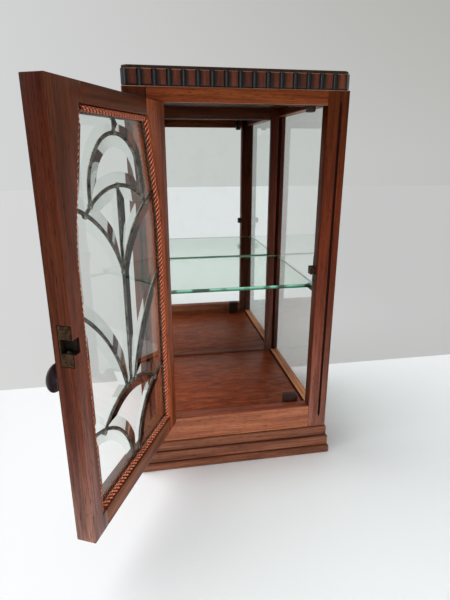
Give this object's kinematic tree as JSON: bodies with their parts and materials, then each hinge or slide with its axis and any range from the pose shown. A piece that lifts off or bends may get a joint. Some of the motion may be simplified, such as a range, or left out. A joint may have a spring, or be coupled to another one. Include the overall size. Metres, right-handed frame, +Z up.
{
  "type": "display cabinet",
  "caption": "Small square glazed display cabinet on a stepped plinth, with a leaded-glass door, mirror back, glass shelf and fluted cornice.",
  "frame": {"origin": "middle of the base on the surface that it stands on, under the carcass", "axes": "+X to the right as seen from the front, +Y to the back, +Z up; the door stands open to the front left"},
  "size_m": [0.3954, 0.5267, 0.588],
  "materials": {
    "carcass_wood": "red-brown stain, satin polish",
    "floor_wood": "figured veneer, polished",
    "bead_wood": "pale stain",
    "plain_board": "unfinished",
    "ebonised_wood": "black stain, polished",
    "door_wood": "dark red-brown stain, satin polish",
    "side_pane": "clear",
    "shelf_pane": "clear with green edges",
    "bevelled_pane": "clear, bevelled",
    "silvered_mirror": "silvered",
    "lead_came": "dull grey lead",
    "cord_fabric": "twisted salmon-red cord",
    "old_brass": "dulled",
    "spring_steel": "bright wire"
  },
  "bodies": {
    "cabinet": {"back_beads": "bead_wood", "back_head": "carcass_wood", "back_sill": "carcass_wood", "backing_board": "plain_board", "base_board": "plain_board", "ceiling_board": "carcass_wood", "cornice_back": "carcass_wood", "cornice_front": "carcass_wood", "cornice_left": "carcass_wood", "cornice_right": "carcass_wood", "floor_board": "floor_wood", "front_head": "carcass_wood", "front_left_post": "carcass_wood", "front_right_post": "carcass_wood", "front_sill": "carcass_wood", "glass_shelf": "shelf_pane", "hinge_pin_lower": "old_brass", "hinge_pin_upper": "old_brass", "hinge_post_leaf_lower": "old_brass", "hinge_post_leaf_upper": "old_brass", "hinge_post_screws": "old_brass", "left_glazing_beads": "bead_wood", "left_side_glass": "side_pane", "left_side_head": "carcass_wood", "left_side_sill": "carcass_wood", "lower_stop": "ebonised_wood", "mirror": "silvered_mirror", "plinth_back": "carcass_wood", "plinth_front": "carcass_wood", "plinth_left": "carcass_wood", "plinth_right": "carcass_wood", "rear_left_post": "carcass_wood", "rear_right_post": "carcass_wood", "right_glazing_beads": "bead_wood", "right_side_glass": "side_pane", "right_side_head": "carcass_wood", "right_side_sill": "carcass_wood", "shelf_pins": "old_brass", "striker": "old_brass", "striker_screw_pair": "old_brass", "top_board": "ebonised_wood", "upper_stop": "ebonised_wood"},
    "door": {"door_hinge_stile": "door_wood", "door_lock_stile": "door_wood", "door_top_rail": "door_wood", "door_bottom_rail": "door_wood", "came_lattice": "lead_came", "leaded_panes": "bevelled_pane", "glazing_cord": "cord_fabric", "knob": "ebonised_wood", "catch_case": "old_brass", "catch_screw_pair": "old_brass", "catch_spring_upper": "spring_steel", "catch_spring_lower": "spring_steel", "hinge_door_leaf_lower": "old_brass", "hinge_door_leaf_upper": "old_brass", "hinge_door_screws": "old_brass"},
    "ball_upper": {"catch_ball_upper": "old_brass"},
    "ball_lower": {"catch_ball_lower": "old_brass"}
  },
  "joints": [
    {"name": "door_hinge", "type": "hinge", "parent": "cabinet", "child": "door", "pos_m": [-0.11962, -0.151, 0.3], "axis": [0, 0, -1], "range_deg": [-115, 55]},
    {"name": "catch_ball_upper_slide", "type": "slide", "parent": "door", "child": "ball_upper", "axis": [0, 0, 1], "range_m": [0, 0.0018], "stiffness_N_per_m": 300, "springref_m": -0.001, "deforming": ["catch_spring_upper"]},
    {"name": "catch_ball_lower_slide", "type": "slide", "parent": "door", "child": "ball_lower", "axis": [0, 0, -1], "range_m": [0, 0.0018], "stiffness_N_per_m": 300, "springref_m": -0.001, "deforming": ["catch_spring_lower"]}
  ]
}
